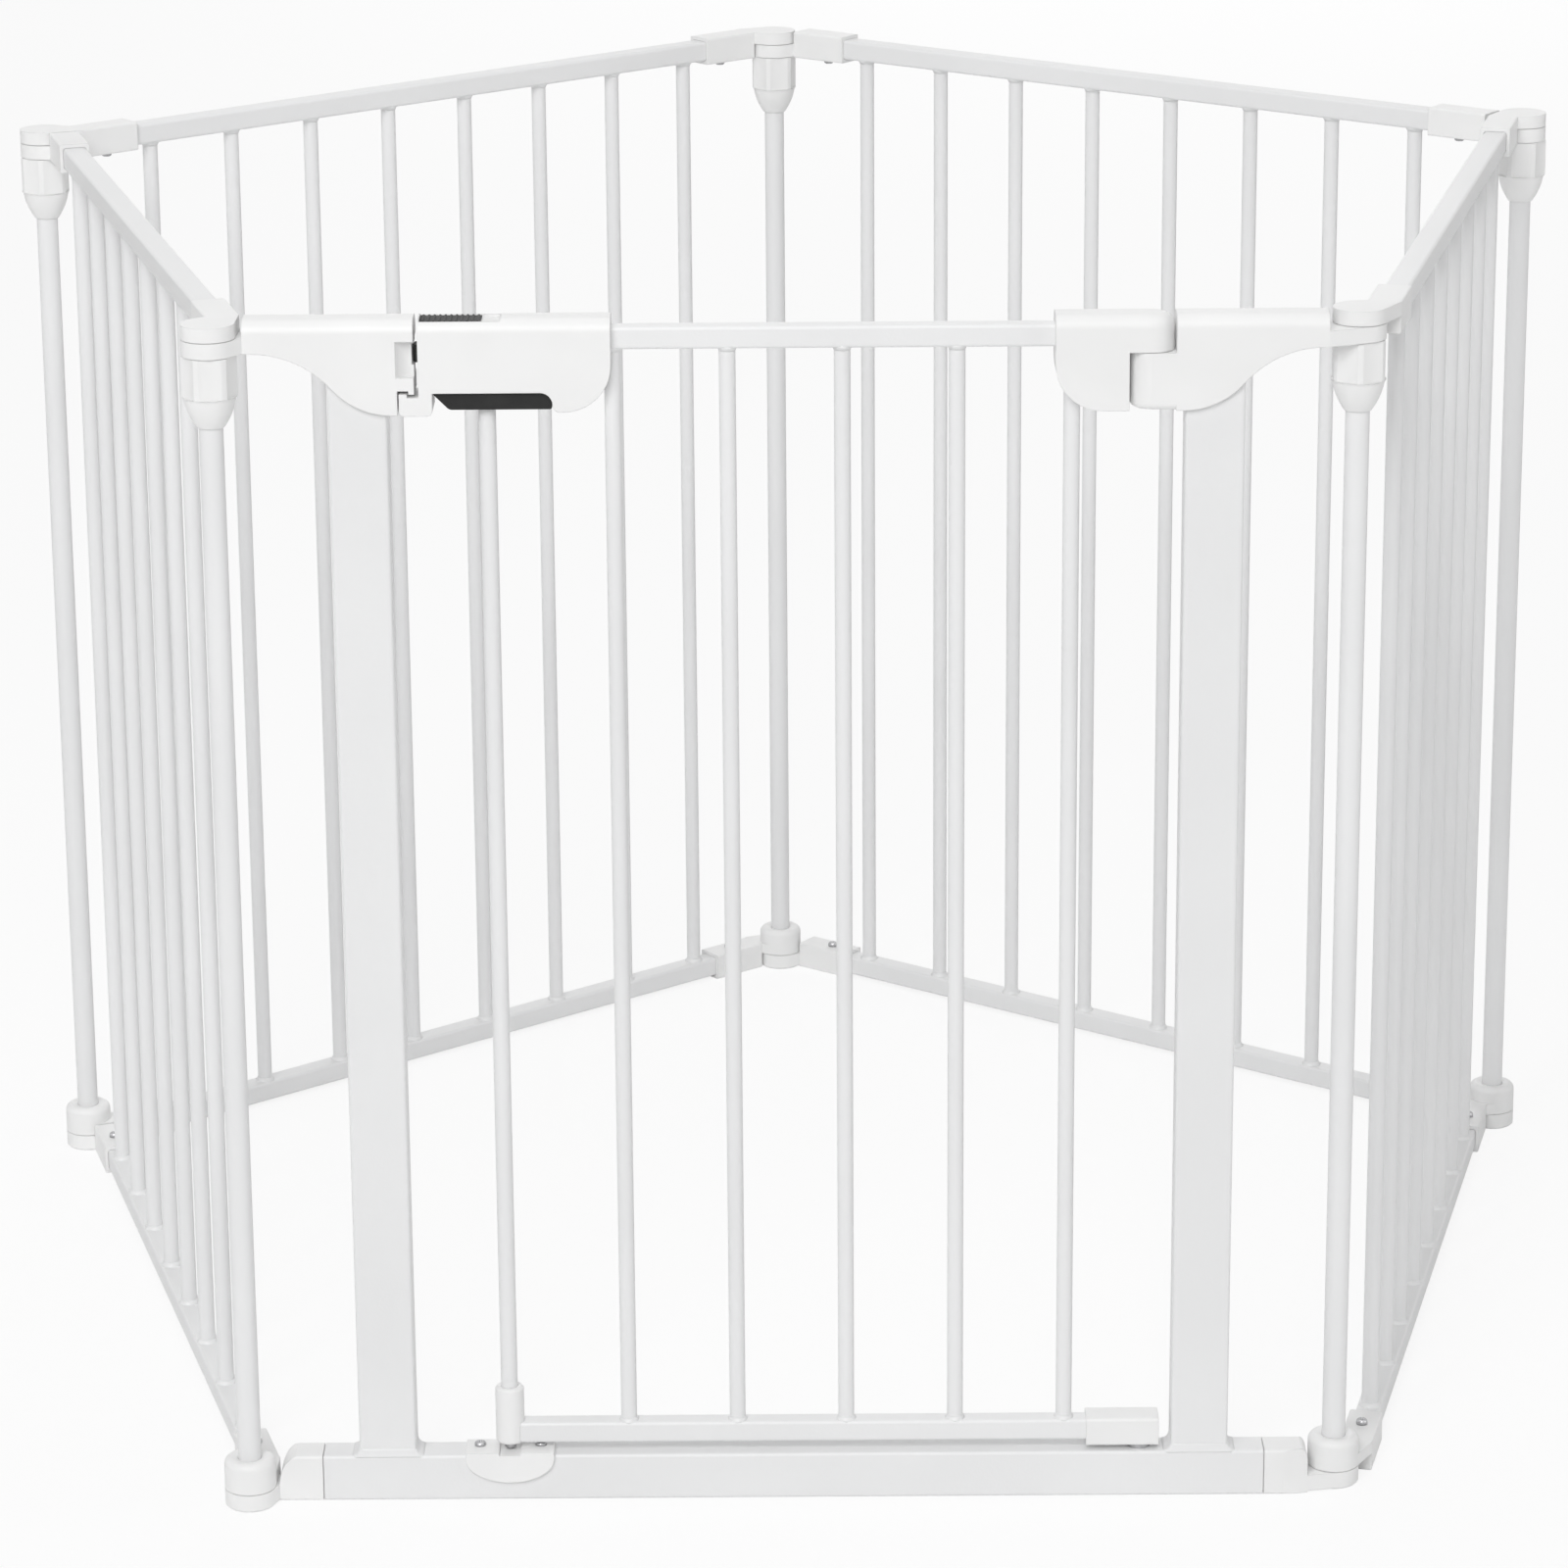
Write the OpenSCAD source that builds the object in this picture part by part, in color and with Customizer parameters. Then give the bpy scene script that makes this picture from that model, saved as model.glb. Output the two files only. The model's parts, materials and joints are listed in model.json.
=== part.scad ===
/* [Pen] */
// Height of the panels above the floor
height = 726; // [640:1:900]
// Distance between the fold axes of the gate panel, along its sill
gate_span = 652; // [620:1:720]
// Distance between the fold axes of a fence panel
panel_span = 610; // [580:1:680]
// Angle by which the two side panels lean outward
lean = 16.2; // [12:0.1:20]
// Sideways distance from a fold axis to the middle of its rail
fold_offset = 11.5; // [11:0.1:13]

/* [Fence rails and bars] */
// Height of a fence rail
rail_h = 14; // [12:0.5:16]
// Width of a fence rail
rail_w = 15; // [12:0.5:16]
// Corner radius of the square tubes
rail_r = 2; // [1:0.1:2.4]
// Wall of the square tubes
rail_wall = 1.2; // [0.8:0.1:2]
// Diameter of a fence bar
bar_d = 10; // [7:0.5:11]
// Wall of the round tubes
tube_wall = 1; // [0.6:0.1:1.5]
// Number of bars in a fence panel
bar_count = 8; // [6:1:9]
// Distance from a fold axis to the first bar
bar_inset = 76; // [72:1:95]

/* [Corner knuckles] */
// Diameter of the knuckle rings, discs and cups
knuckle_d = 31; // [28:0.5:33]
// Thickness of the top disc
disc_h = 8.5; // [6:0.1:9]
// Height of the upper ring, under the disc
ring_h = 9.3; // [7:0.1:11]
// Height of the lower ring, on the floor
foot_ring_h = 11; // [8:0.1:13]
// Height of the cup that holds the post
cup_h = 19.2; // [14:0.1:22]
// Gap between neighbouring knuckles
knuckle_gap = 0.3; // [0.2:0.05:0.6]
// Diameter of the fold pins
pin_d = 11.4; // [9:0.1:11.4]
// Radial running clearance of every pin
running = 0.08; // [0.03:0.01:0.1]
// Distance from a fold axis to the mouth of a rail sleeve
sleeve_len = 60.5; // [56:0.5:66]
// Wall of a rail sleeve
sleeve_wall = 2.35; // [1.8:0.05:3]
// Distance from a fold axis to the sleeve screw
screw_inset = 41.5; // [36:0.5:50]

/* [Corner posts and lock nuts] */
// Diameter of a corner post
post_d = 14; // [14:0.1:16]
// Wall of a corner post
post_wall = 1.2; // [1:0.05:1.25]
// Diameter of a lock nut
nut_d = 32; // [30:0.5:33]
// Height of the fluted grip of a lock nut
nut_grip_h = 24; // [18:0.5:30]
// Height of the cone under the grip
nut_cone_h = 17.6; // [12:0.1:22]
// Diameter of the cone at its lower end
nut_neck_d = 17.4; // [17:0.1:20]
// Number of flutes round a lock nut
nut_flutes = 6; // [5:1:12]

/* [Gate frame] */
// Height of the sill rail
sill_h = 29; // [26:0.5:34]
// Depth of the sill rail
sill_d = 21; // [21:0.5:22]
// Wall of the sill rail and uprights
frame_wall = 1.5; // [1:0.1:2]
// Distance from a fold axis to the seam between sill and end fitting
seam_inset = 44; // [38:1:50]
// Width of an upright
upright_w = 34; // [30:0.5:38]
// Depth of an upright
upright_d = 20; // [18:0.5:21]
// Distance from a fold axis to the middle of an upright
upright_inset = 82.8; // [80:0.1:86]
// Depth of the top housings, front to back
housing_d = 25.6; // [25:0.1:27]
// Drop of the top housings from the top of the panels
housing_drop = 54.3; // [52:0.1:60]
// Edge radius along the top of the housings
housing_r = 8; // [4:0.5:10]
// Width of the keeper plate
keeper_w = 53; // [48:1:60]
// Thickness of the keeper plate
keeper_t = 2.3; // [2:0.1:3]
// How far the keeper hangs down the front of the sill
keeper_drop = 17; // [12:0.5:24]

/* [Door] */
// Distance from an upright's inner face to the swing axis
swing_inset = 18.7; // [16:0.1:20]
// Distance from an upright's inner face to the latch tube
latch_inset = 56.2; // [54:0.1:58]
// Height of the door rails
door_rail_h = 13; // [10:0.5:14]
// Depth of the door rails
door_rail_d = 12.5; // [9:0.5:14]
// Gap from the sill to the door's bottom rail
door_clear = 5.8; // [5:0.1:9]
// Distance from the top of the panels to the top of the door's top rail
door_top_drop = 5.3; // [4.5:0.1:8]
// Diameter of a door bar
door_bar_d = 9.5; // [7:0.5:10]
// Number of bars in the door
door_bar_count = 5; // [3:1:6]
// Distance from the latch tube to the first door bar
first_bar = 71.5; // [66:0.1:78]
// Distance from the last door bar to the swing axis
last_bar = 45.2; // [43:0.1:60]
// Diameter of the latch tube
latch_tube_d = 10; // [9.6:0.1:12]
// Diameter of the foot on the latch tube
foot_d = 17.2; // [16:0.1:18]
// Height of the foot on the latch tube
foot_h = 35.5; // [32:0.5:45]
// Diameter of the door's hinge pins
hinge_pin_d = 8; // [6:0.1:10]

/* [Latch] */
// Length of the handle housing
handle_len = 109; // [106:0.1:116]
// Length of the lift grip
grip_len = 67.5; // [64:0.1:68]
// Height of the lift grip that shows
grip_h = 10.1; // [7:0.1:11]
// Travel of the lift grip
grip_travel = 6; // [4:0.1:6]
// Travel of the slide button
slide_travel = 8; // [5:0.1:8]
// Height of the latch bolt
bolt_h = 10; // [8:0.1:10]
// Width of the latch bolt
bolt_w = 10; // [8:0.1:12]
// Diameter of the drop rod
rod_d = 7; // [6:0.1:8]
// Width of the groove that takes the drop rod
keeper_groove = 12.6; // [11:0.1:14]

/* [Hidden] */

$fn = 48;
steel_white = "whitesmoke";
plastic_white = "white";
cut = 1;            // overrun of every cut past the face it opens
fit = 0.15;         // gap between pieces that are fixed to each other

// ---- corners of the pen, seen from above, with the gate's sill along y = 0
half_gate = gate_span / 2;
front_left = [-half_gate, -fold_offset];
front_right = [half_gate, fold_offset];
left = front_left + panel_span * [-sin(lean), cos(lean)];
right = front_right + panel_span * [sin(lean), cos(lean)];
across = right - left;
back = (left + right) / 2
    + sqrt(pow(panel_span, 2) - pow(norm(across) / 2, 2)) * [-across[1], across[0]] / norm(across);
gate_y = -(front_left[1] + back[1]) / 2;    // the pen's box is centred on the origin

// ---- fence panels in order round the pen: left, back left, back right, right
panel_from = [front_left, left, back, right];
panel_to = [left, back, right, front_right];
from_side = [1, 1, -1, 1];      // 1 where the rail runs inside its fold axis, -1 outside
to_side = [1, -1, 1, -1];
from_over = [true, true, false, true];      // true where the knuckle takes the disc and cup
to_over = [false, true, false, true];
slot_turn = atan2(-across[1], -across[0]);  // way out of the back corner's rings, in the pen's frame

// ---- levels
sleeve_inset = sleeve_wall + fit;
sleeve_h = rail_h + 2 * sleeve_inset;
sleeve_w = rail_w + 2 * sleeve_inset;
sleeve_from = nut_d / 2 + 1;
sleeve_seat = sleeve_from + 5;
knuckle_r = knuckle_d / 2;
pin_r = pin_d / 2;
disc_z = height - disc_h;
ring_top = disc_z - knuckle_gap;
ring_z = ring_top - ring_h;
nut_top = ring_z - knuckle_gap;
nut_z = nut_top - nut_grip_h - nut_cone_h;
cup_z = foot_ring_h + knuckle_gap;
cup_floor = 3.7;
post_z = cup_z + cup_floor;
post_top = ring_z - 1;
stem_len = disc_z - nut_z - nut_cone_h - 4;
top_rail_z = height - sleeve_inset - rail_h;
bottom_rail_z = sleeve_inset;

// ---- gate frame, x from the middle of the gate
latch_upright_x = -half_gate + upright_inset;
hinge_upright_x = half_gate - upright_inset;
swing_x = hinge_upright_x - upright_w / 2 - swing_inset;
latch_x = latch_upright_x + upright_w / 2 + latch_inset;
housing_top = height + 0.8;           // the housings stand a little above the panels
housing_half = housing_d / 2;
housing_z = height - housing_drop;
seam_gap = 0.5;             // fine line between the sill and its end fittings
bracket_from = 19;          // from the fold axis to the bracket's end face
neck_back = 4;              // how far the ring's neck reaches behind the sill's middle
swoosh_upper_r = 60;
swoosh_lower_r = 45;
upright_top = height - 11;
swing_face = 0.5;           // gap between the door's and the frame's hinge lobes
lobe_r = housing_half;
cap_lobe_r = lobe_r - 0.04;             // a hair inside the cap's flat sides and top
cap_lobe_top = housing_top - 0.04;
seam_z = height - 21;
hinge_pin_r = hinge_pin_d / 2;
hinge_pin_grip = 20;
hinge_pin_reach = 14;
pin_flange_r = 7;

// ---- door
door_rail_z = sill_h + door_clear;
door_top_z = height - door_top_drop - door_rail_h;
shoe_from = swing_x - 32;
shoe_to = swing_x + 11.5;
shoe_z = sill_h + 3;
shoe_h = 17.5;
shoe_d = 18.5;
cap_from = swing_x - 55.2;
cap_r = 27;
cap_screw_x = cap_from + 21;
cap_screw_z = door_top_z - 8;           // under the screw's head
rail_end = swing_x - 20;                // where the top rail stops inside the cap
foot_z = door_rail_z - 0.3;
foot_floor = 3.5;
foot_socket = 8;

// ---- handle housing and latch
handle_x = latch_x - 38;              // left face of the handle
handle_to = handle_x + handle_len;
door_end_x = handle_to - 14.5;          // where the top rail stops inside the handle
handle_wall = 2.4;
grip_z = height - 41.6;                 // flat underside of the handle, over the grip
grip_x = handle_x + 7.7;
grip_to = grip_x + grip_len + 2 * 0.3;
grip_half = housing_half - 3;
lobe_z = housing_z + 1.3;               // underside of the handle's right lobe
lobe_corner_r = 4;
mouth_r = grip_z - lobe_z - lobe_corner_r - 0.4;    // round corner over the grip
recess_d = 3;                           // how deep the slide button lies in the handle's top
recess_half = housing_half - 3.5;
button_len = 34.6;
ramp_r = 3;                             // round end of the button's recess
recess_to = handle_x + 1.4 + button_len + slide_travel + ramp_r;
strike_x = handle_x - 2.4;              // end face of the latch bracket
hook_x = handle_x - 11.2;
hook_gap = 0.8;
hook_drop = 1.9;            // how far the hook lies under the strike and its lip
lip_z = grip_z - 0.5;
lip_w = 3.3;
strike_z = grip_z + 1.5;
bolt_z = height - 25;
bolt_end = strike_x - 0.8;
bolt_to = latch_x - 19;
detent = 1.2;
spring_bore_r = 3.3;
spring_bore = 9;
spring_stop = latch_x - 9.3;
tube_top = height - 19.8;
clamp_z = height - 22.8;
clamp_h = 3.3;
sleeve_top = grip_z + 9.5;              // top of the grip's sleeve round the latch tube
cross_pin_z = grip_z + 5.5;
cross_pin_r = 1.5;
rod_tip = sill_h + 0.9;
rod_r = rod_d / 2;
collar_z = foot_z + foot_floor + 6;
collar_h = 2;
screw_r = 1.7;
screw_head_r = 3.5;
screw_head_h = 2.2;
fence_head_h = 3.1;                     // the sleeves' screws have higher heads
handle_screw_len = 16;
lobe_screw = [grip_to + 13, grip_z];
end_screw = [handle_x + 6.5, grip_z + 12];
top_screw = [latch_x + 21, height - 11];
handle_screws_at = [lobe_screw, end_screw, top_screw];

// Points of an arc, from angle a0 to a1
function arc(x, y, r, a0, a1, n = 10) =
    [for (i = [0 : n]) let (a = a0 + (a1 - a0) * i / n) [x + r * cos(a), y + r * sin(a)]];

// A shallow curve from p to q that swells by s at its middle
function bow(p, q, s, n = 6) =
    [for (i = [0 : n]) let (t = i / n, d = q - p) p + t * d + 4 * s * t * (1 - t) * [d[1], -d[0]] / norm(d)];

// Where a line from point p touches a circle, on the side s
function touch(c, r, p, s) =
    let (d = norm(p - c), a = atan2(p[1] - c[1], p[0] - c[0]) + s * acos(r / d))
    c + r * [cos(a), sin(a)];

// Lower edge of a bracket: two arcs that sweep from its lobe up to its neck
function swoosh(x_neck, z_neck, z_lobe) =
    let (reach = swoosh_upper_r + swoosh_lower_r, fall = reach - (z_neck - z_lobe),
        run = sqrt(reach * reach - fall * fall), turn = atan2(fall, run))
    concat(arc(x_neck + run, z_lobe + swoosh_lower_r, swoosh_lower_r, 270, 180 + turn),
        arc(x_neck, z_neck - swoosh_upper_r, swoosh_upper_r, turn, 90));

// Rectangle with round corners
module round_rect(w, h, r) {
    square([w - 2 * r, h], center = true);
    square([w, h - 2 * r], center = true);
    for (x = [-1, 1], y = [-1, 1])
        translate([x * (w / 2 - r), y * (h / 2 - r)]) circle(r);
}

// Round-cornered bar along x, its section centred on y = 0 and standing on z
module beam(x0, x1, w, z, h, r) {
    translate([x0, 0, z + h / 2]) rotate([90, 0, 90]) linear_extrude(x1 - x0) round_rect(w, h, r);
}

// Square tube along x
module square_tube(x0, x1, w, z, h, wall) {
    difference() {
        beam(x0, x1, w, z, h, rail_r);
        beam(x0 - cut, x1 + cut, w - 2 * wall, z + wall, h - 2 * wall, max(rail_r - wall, 0.4));
    }
}

// Upright round tube
module round_tube(d, wall, z0, z1) {
    difference() {
        translate([0, 0, z0]) cylinder(d = d, h = z1 - z0);
        translate([0, 0, z0 - cut]) cylinder(d = d - 2 * wall, h = z1 - z0 + 2 * cut);
    }
}

// Pan-head screw, its head standing up from z = 0 and its shank going down
module screw(len, head_h = screw_head_h) {
    rotate_extrude() polygon(concat([[0, -len], [screw_r, -len + 1], [screw_r, 0], [screw_head_r, 0]],
        [for (a = [0 : 15 : 75]) [screw_head_r * cos(a), 0.8 + (head_h - 0.8) * sin(a)]],
        [[0, head_h]]));
}

// Coil spring that stands on z = 0
module coil(r, wire_r, len, turns) {
    sides = 6;
    steps = 12;
    n = turns * steps;
    rise = len - 2 * wire_r;
    rings = [for (i = [0 : n]) let (a = 360 * i / steps, z = wire_r + rise * i / n)
        for (k = [0 : sides - 1]) let (b = 360 * k / sides)
            [(r + wire_r * cos(b)) * cos(a), (r + wire_r * cos(b)) * sin(a), z + wire_r * sin(b)]];
    skin = [for (i = [0 : n - 1], k = [0 : sides - 1]) let (m = (k + 1) % sides)
        [i * sides + k, (i + 1) * sides + k, (i + 1) * sides + m, i * sides + m]];
    polyhedron(rings, concat([[for (k = [0 : sides - 1]) k]], skin,
        [[for (k = [sides - 1 : -1 : 0]) n * sides + k]]), convexity = 10);
}

// Plan of a knuckle ring and the neck that joins it to a block standing at x0
module neck(axis_y, x0, y_low, y_high) {
    c = [0, axis_y];
    translate(c) circle(knuckle_r);
    inner = knuckle_r - 0.03;       // the sides end a hair inside the ring
    polygon([touch(c, inner, [x0, y_high], 1), [x0, y_high], [x0 + cut, y_high],
        [x0 + cut, y_low], [x0, y_low], touch(c, inner, [x0, y_low], -1)]);
}

// ---- corner fittings: the fold axis is at [0, axis_y] and the rail runs along +x

// Sleeve over a rail end, with the screw hole on its inner side
module sleeve(z, screw_side) {
    difference() {
        beam(sleeve_from, sleeve_len, sleeve_w, z, sleeve_h, 1.2);
        beam(sleeve_seat, sleeve_len + cut, rail_w + 2 * fit, z + sleeve_wall, rail_h + 2 * fit,
            rail_r);
        translate([screw_inset, 0, screw_side > 0 ? z + sleeve_h - sleeve_wall - cut : z - cut])
            cylinder(r = screw_r + fit, h = sleeve_wall + 2 * cut, $fn = 24);
    }
}

// Slot that lets a pin leave its ring sideways
module ring_slot(axis_y, turn) {
    translate([0, axis_y, 0]) rotate(turn)
        translate([0, -pin_r - knuckle_gap, -cut])
            cube([knuckle_d, 2 * (pin_r + knuckle_gap), height + 2 * cut]);
}

// Disc and sleeve at the top, with the stem that is the fold pin
module over_top(axis_y) {
    sleeve(height - sleeve_h, -1);
    translate([0, 0, disc_z]) linear_extrude(disc_h)
        neck(axis_y, sleeve_from, -sleeve_w / 2, sleeve_w / 2);
    translate([0, axis_y, disc_z - stem_len]) cylinder(r = pin_r, h = stem_len + disc_h / 2);
}

// Cup and sleeve at the foot, with the spigot that is the fold pin
module over_bottom(axis_y) {
    sleeve(0, 1);
    difference() {
        union() {
            translate([0, 0, cup_z]) linear_extrude(sleeve_h - cup_z)
                neck(axis_y, sleeve_from, -sleeve_w / 2, sleeve_w / 2);
            translate([0, axis_y, 0]) rotate_extrude() polygon(concat([[0, cup_z], [knuckle_r, cup_z]],
                arc(knuckle_r - 4.5, cup_z + cup_h - 4.5, 4.5, 0, 90, 8),
                [[post_d / 2 + 2, cup_z + cup_h - 0.3], [post_d / 2 + fit, cup_z + cup_h - 0.9],
                [0, cup_z + cup_h - 0.9]]));
        }
        translate([0, axis_y, post_z]) cylinder(d = post_d + 2 * fit, h = cup_h);
    }
    translate([0, axis_y, 0.8]) cylinder(r = pin_r, h = post_z - 0.8);
}

// Ring and sleeve at the top
module under_top(axis_y, open_to) {
    sleeve(height - sleeve_h, -1);
    difference() {
        translate([0, 0, ring_z]) linear_extrude(ring_h)
            neck(axis_y, sleeve_from, -sleeve_w / 2, sleeve_w / 2);
        translate([0, axis_y, ring_z - cut]) cylinder(r = pin_r + running, h = ring_h + 2 * cut);
        if (open_to != undef) ring_slot(axis_y, open_to);
    }
}

// Ring and sleeve at the foot
module under_bottom(axis_y, open_to) {
    sleeve(0, 1);
    difference() {
        union() {
            translate([0, 0, 1]) linear_extrude(foot_ring_h - 1)
                neck(axis_y, sleeve_from, -sleeve_w / 2, sleeve_w / 2);
            translate([0, axis_y, 0]) cylinder(r1 = knuckle_r - 1, r2 = knuckle_r, h = 1);
        }
        translate([0, axis_y, -cut]) cylinder(r = pin_r + running, h = foot_ring_h + 2 * cut);
        if (open_to != undef) ring_slot(axis_y, open_to);
    }
}

// ---- fence panels

function from_y(i) = from_side[i] * fold_offset;
function to_y(i) = to_side[i] * fold_offset;
function run_len(i) = sqrt(pow(panel_span, 2) - pow(to_y(i) - from_y(i), 2));
function panel_turn(i) = let (d = panel_to[i] - panel_from[i])
    atan2(d[1], d[0]) - atan2(to_y(i) - from_y(i), run_len(i));

// Puts a panel, drawn along +x with its rail on y = 0, in its place round the pen
module in_panel(i) {
    translate([panel_from[i][0], panel_from[i][1] + gate_y, 0]) rotate(panel_turn(i))
        translate([0, -from_y(i), 0]) children();
}

// Far end of panel i
module at_far_end(i) {
    translate([run_len(i), 0, 0]) mirror([1, 0, 0]) children();
}

module fence_rail(i, z, screw_z) {
    color(steel_white) in_panel(i) difference() {
        square_tube(sleeve_seat + fit, run_len(i) - sleeve_seat - fit, rail_w, z, rail_h, rail_wall);
        for (x = [screw_inset, run_len(i) - screw_inset])
            translate([x, 0, screw_z - cut])
                cylinder(r = screw_r + fit, h = rail_wall + 2 * cut, $fn = 24);
    }
}

module fence_top_rail(i) { fence_rail(i, top_rail_z, top_rail_z); }

module fence_bottom_rail(i) { fence_rail(i, bottom_rail_z, bottom_rail_z + rail_h - rail_wall); }

module fence_bars(i) {
    pitch = (run_len(i) - 2 * bar_inset) / (bar_count - 1);
    color(steel_white) in_panel(i) for (k = [0 : bar_count - 1])
        translate([bar_inset + k * pitch, 0, 0])
            round_tube(bar_d, tube_wall, bottom_rail_z + rail_h, top_rail_z);
}

module knuckle_pair(over, axis_y, open_to) {
    if (over) {
        over_top(axis_y);
        over_bottom(axis_y);
    } else {
        under_top(axis_y, open_to);
        under_bottom(axis_y, open_to);
    }
}

module fence_knuckles(i) {
    color(plastic_white) in_panel(i) {
        knuckle_pair(from_over[i], from_y(i), i == 2 ? slot_turn - panel_turn(i) : undef);
        at_far_end(i) knuckle_pair(to_over[i], to_y(i), undef);
    }
}

module fence_screws(i) {
    color("silver") in_panel(i) for (x = [screw_inset, run_len(i) - screw_inset]) {
        translate([x, 0, height - sleeve_h]) mirror([0, 0, 1]) screw(sleeve_inset + 5, fence_head_h);
        translate([x, 0, sleeve_h]) screw(sleeve_inset + 5, fence_head_h);
    }
}

// ---- corner posts and lock nuts

module at_corner(p) { translate([p[0], p[1] + gate_y, 0]) children(); }

module post(p) {
    color(steel_white) at_corner(p) round_tube(post_d, post_wall, post_z, post_top);
}

module lock_nut(p, turn) {
    grip_z0 = nut_z + nut_cone_h;
    flute_r = 34;
    flute_depth = 2;
    color(plastic_white) at_corner(p) difference() {
        rotate_extrude($fn = 72) polygon(concat([[0, nut_z], [nut_neck_d / 2 - 0.7, nut_z]],
            bow([nut_neck_d / 2, nut_z + 1], [nut_d / 2 - 1, grip_z0 - 0.8], 0.9),
            [[nut_d / 2, grip_z0 + 0.8],
            [nut_d / 2, nut_top - 0.6], [nut_d / 2 - 0.6, nut_top], [0, nut_top]]));
        translate([0, 0, nut_z - cut]) cylinder(d = post_d + 2 * running, h = nut_top - nut_z + 2 * cut);
        for (k = [0 : nut_flutes - 1])
            rotate(turn + 360 * k / nut_flutes)
                translate([nut_d / 2 + flute_r - flute_depth, 0, grip_z0 + 0.5])
                    cylinder(r = flute_r, h = nut_grip_h);
    }
}

// ---- gate frame

module in_gate() { translate([0, gate_y, 0]) children(); }

// Left end of the gate, or its right end mirrored, with x from the fold axis
module at_left_end() { in_gate() translate([-half_gate, 0, 0]) children(); }
module at_right_end() { in_gate() translate([half_gate, 0, 0]) mirror([1, 0, 0]) children(); }

module sill_rail() {
    color(steel_white) in_gate() difference() {
        square_tube(-half_gate + seam_inset, half_gate - seam_inset, sill_d, 0, sill_h, frame_wall);
        translate([swing_x, 0, sill_h - frame_wall - cut])
            cylinder(r = hinge_pin_r + fit, h = frame_wall + 2 * cut);
        keeper_holes(sill_h - frame_wall - cut, frame_wall + 2 * cut);
    }
}

module keeper_holes(z, h) {
    for (s = [-1, 1]) translate([latch_x + s * keeper_w / 2.9, 0, z])
        cylinder(r = screw_r + fit, h = h, $fn = 24);
}

// End fitting of the sill: a plug in the rail, a block outside it and the lower ring. The block's
// sides run to the ring from x = taper_from. Its outer top corner is corner[0] long, corner[1] high
module sill_end(axis_y, y_low, y_high, taper_from, corner) {
    plug = 14;
    block_to = seam_inset - seam_gap;
    top = sill_h + 0.04;            // the round corner ends a hair above the block
    corner_x = sleeve_from - 0.04 + corner[0];
    color(plastic_white) difference() {
        union() {
            translate([0, 0, 1]) linear_extrude(foot_ring_h - 1) neck(axis_y, taper_from, y_low, y_high);
            translate([0, axis_y, 0]) cylinder(r1 = knuckle_r - 1, r2 = knuckle_r, h = 1);
            intersection() {
                beam(sleeve_from, block_to, sill_d, 0, sill_h, rail_r);
                union() {
                    translate([0, 0, -cut]) linear_extrude(sill_h + 2 * cut)
                        neck(axis_y, taper_from, y_low, y_high);
                    translate([taper_from, -sill_d, -cut]) cube([seam_inset, 2 * sill_d, sill_h + 2 * cut]);
                }
                rotate([90, 0, 0]) translate([0, 0, -sill_d]) linear_extrude(2 * sill_d)
                    polygon(concat([[sleeve_from - 0.04, -cut]],
                        [for (a = [180 : -10 : 90])
                            [corner_x + corner[0] * cos(a), top - corner[1] + corner[1] * sin(a)]],
                        [[seam_inset, top], [seam_inset, -cut]]));
            }
            beam(block_to - cut, seam_inset + plug, sill_d - 2 * (frame_wall + fit),
                frame_wall + fit, sill_h - 2 * (frame_wall + fit), 1);
        }
        translate([0, axis_y, -cut]) cylinder(r = pin_r + running, h = foot_ring_h + 2 * cut);
    }
}

module sill_end_left() {
    at_left_end() sill_end(-fold_offset, -sill_d / 2, neck_back, sleeve_from, [12.5, 21]);
}

module sill_end_right() {
    at_right_end() sill_end(fold_offset, -sill_d / 2, sill_d / 2, seam_inset - 12, [5, 9]);
}

module upright(x) {
    color(steel_white) in_gate() difference() {
        translate([x, 0, sill_h]) linear_extrude(upright_top - sill_h) difference() {
            round_rect(upright_w, upright_d, rail_r);
            round_rect(upright_w - 2 * frame_wall, upright_d - 2 * frame_wall, rail_r - frame_wall + 0.3);
        }
        bracket_screw_at(x) translate([0, 0, -upright_d]) cylinder(r = screw_r + fit, h = upright_d, $fn = 24);
    }
}

// Where the screw of the bracket on an upright enters, looking down the screw from behind
module bracket_screw_at(x) {
    translate([x, housing_half, height - 33]) rotate([-90, 0, 0]) children();
}

module bracket_screws() {
    color("silver") in_gate() for (x = [latch_upright_x, hinge_upright_x])
        bracket_screw_at(x) screw(7);
}

// Section of a housing: flat sides and round top edges
module housing_section(x0, x1) {
    translate([x0, 0, 0]) rotate([90, 0, 90]) linear_extrude(x1 - x0) {
        translate([-housing_half, housing_z - 2 * cut])
            square([housing_d, housing_top - housing_r - housing_z + 2 * cut]);
        translate([-housing_half + housing_r, housing_z - 2 * cut])
            square([housing_d - 2 * housing_r, housing_top - housing_z + 2 * cut]);
        for (s = [-1, 1]) translate([s * (housing_half - housing_r), housing_top - housing_r])
            circle(housing_r);
    }
}

// A front-view outline made into a housing as deep as the others
module housing(outline) {
    xs = [for (p = outline) p[0]];
    intersection() {
        rotate([90, 0, 0]) translate([0, 0, -housing_half]) linear_extrude(housing_d) polygon(outline);
        housing_section(min(xs) - cut, max(xs) + cut);
    }
}

module upright_socket() {
    translate([upright_inset - upright_w / 2 - fit, -upright_d / 2 - fit, housing_z - 2 * cut])
        cube([upright_w + 2 * fit, upright_d + 2 * fit, upright_top + fit - housing_z + 2 * cut]);
}

module bracket_screw_hole() {
    translate([upright_inset, 0, 0]) bracket_screw_at(0)
        translate([0, 0, -housing_half + upright_d / 2 - cut])
            cylinder(r = screw_r + fit, h = housing_half, $fn = 24);
}

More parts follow.
